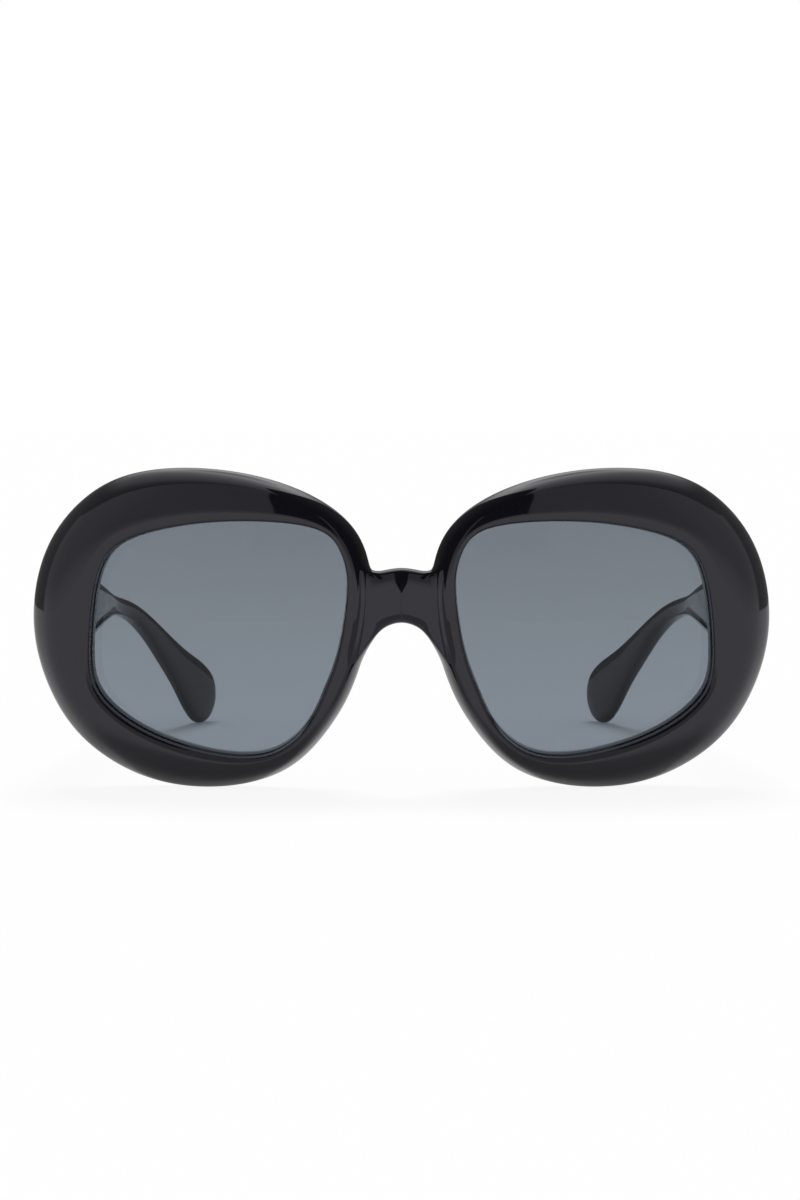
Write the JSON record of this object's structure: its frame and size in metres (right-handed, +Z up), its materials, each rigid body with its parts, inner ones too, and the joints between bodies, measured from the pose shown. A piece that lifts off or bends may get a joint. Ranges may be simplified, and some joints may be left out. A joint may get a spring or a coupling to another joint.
{
  "type": "oversized sunglasses",
  "caption": "Oversized rounded sunglasses with thick domed rims, smoke-tinted lenses and wide temples that fold in on barrel hinges.",
  "frame": {"origin": "middle of the footprint on the table, with the temples open", "axes": "+X to the wearer's left, +Y from the front towards the temple tips, +Z up"},
  "size_m": [0.1506, 0.1442, 0.0652],
  "materials": {
    "frame_plastic": "polished black",
    "lens_tint": "smoke-grey transparent",
    "hinge_metal": "satin",
    "screw_steel": "satin",
    "core_wire": "satin"
  },
  "bodies": {
    "front": {"front_frame": "frame_plastic", "left_lens": "lens_tint", "left_nose_pad": "frame_plastic", "left_front_hinge_leaf": "hinge_metal", "left_front_leaf_screws": "screw_steel", "left_hinge_screw": "screw_steel", "right_lens": "lens_tint", "right_nose_pad": "frame_plastic", "right_front_hinge_leaf": "hinge_metal", "right_front_leaf_screws": "screw_steel", "right_hinge_screw": "screw_steel"},
    "left_temple": {"left_temple": "frame_plastic", "left_temple_core": "core_wire", "left_temple_hinge_leaf": "hinge_metal", "left_temple_leaf_screws": "screw_steel"},
    "right_temple": {"right_temple": "frame_plastic", "right_temple_core": "core_wire", "right_temple_hinge_leaf": "hinge_metal", "right_temple_leaf_screws": "screw_steel"}
  },
  "joints": [
    {"name": "left_temple_hinge", "type": "hinge", "parent": "front", "child": "left_temple", "pos_m": [0.0667, -0.05095, 0.034], "axis": [0, 0, 1], "range_deg": [0, 81]},
    {"name": "right_temple_hinge", "type": "hinge", "parent": "front", "child": "right_temple", "pos_m": [-0.0667, -0.05095, 0.034], "axis": [0, 0, -1], "range_deg": [0, 73]}
  ]
}
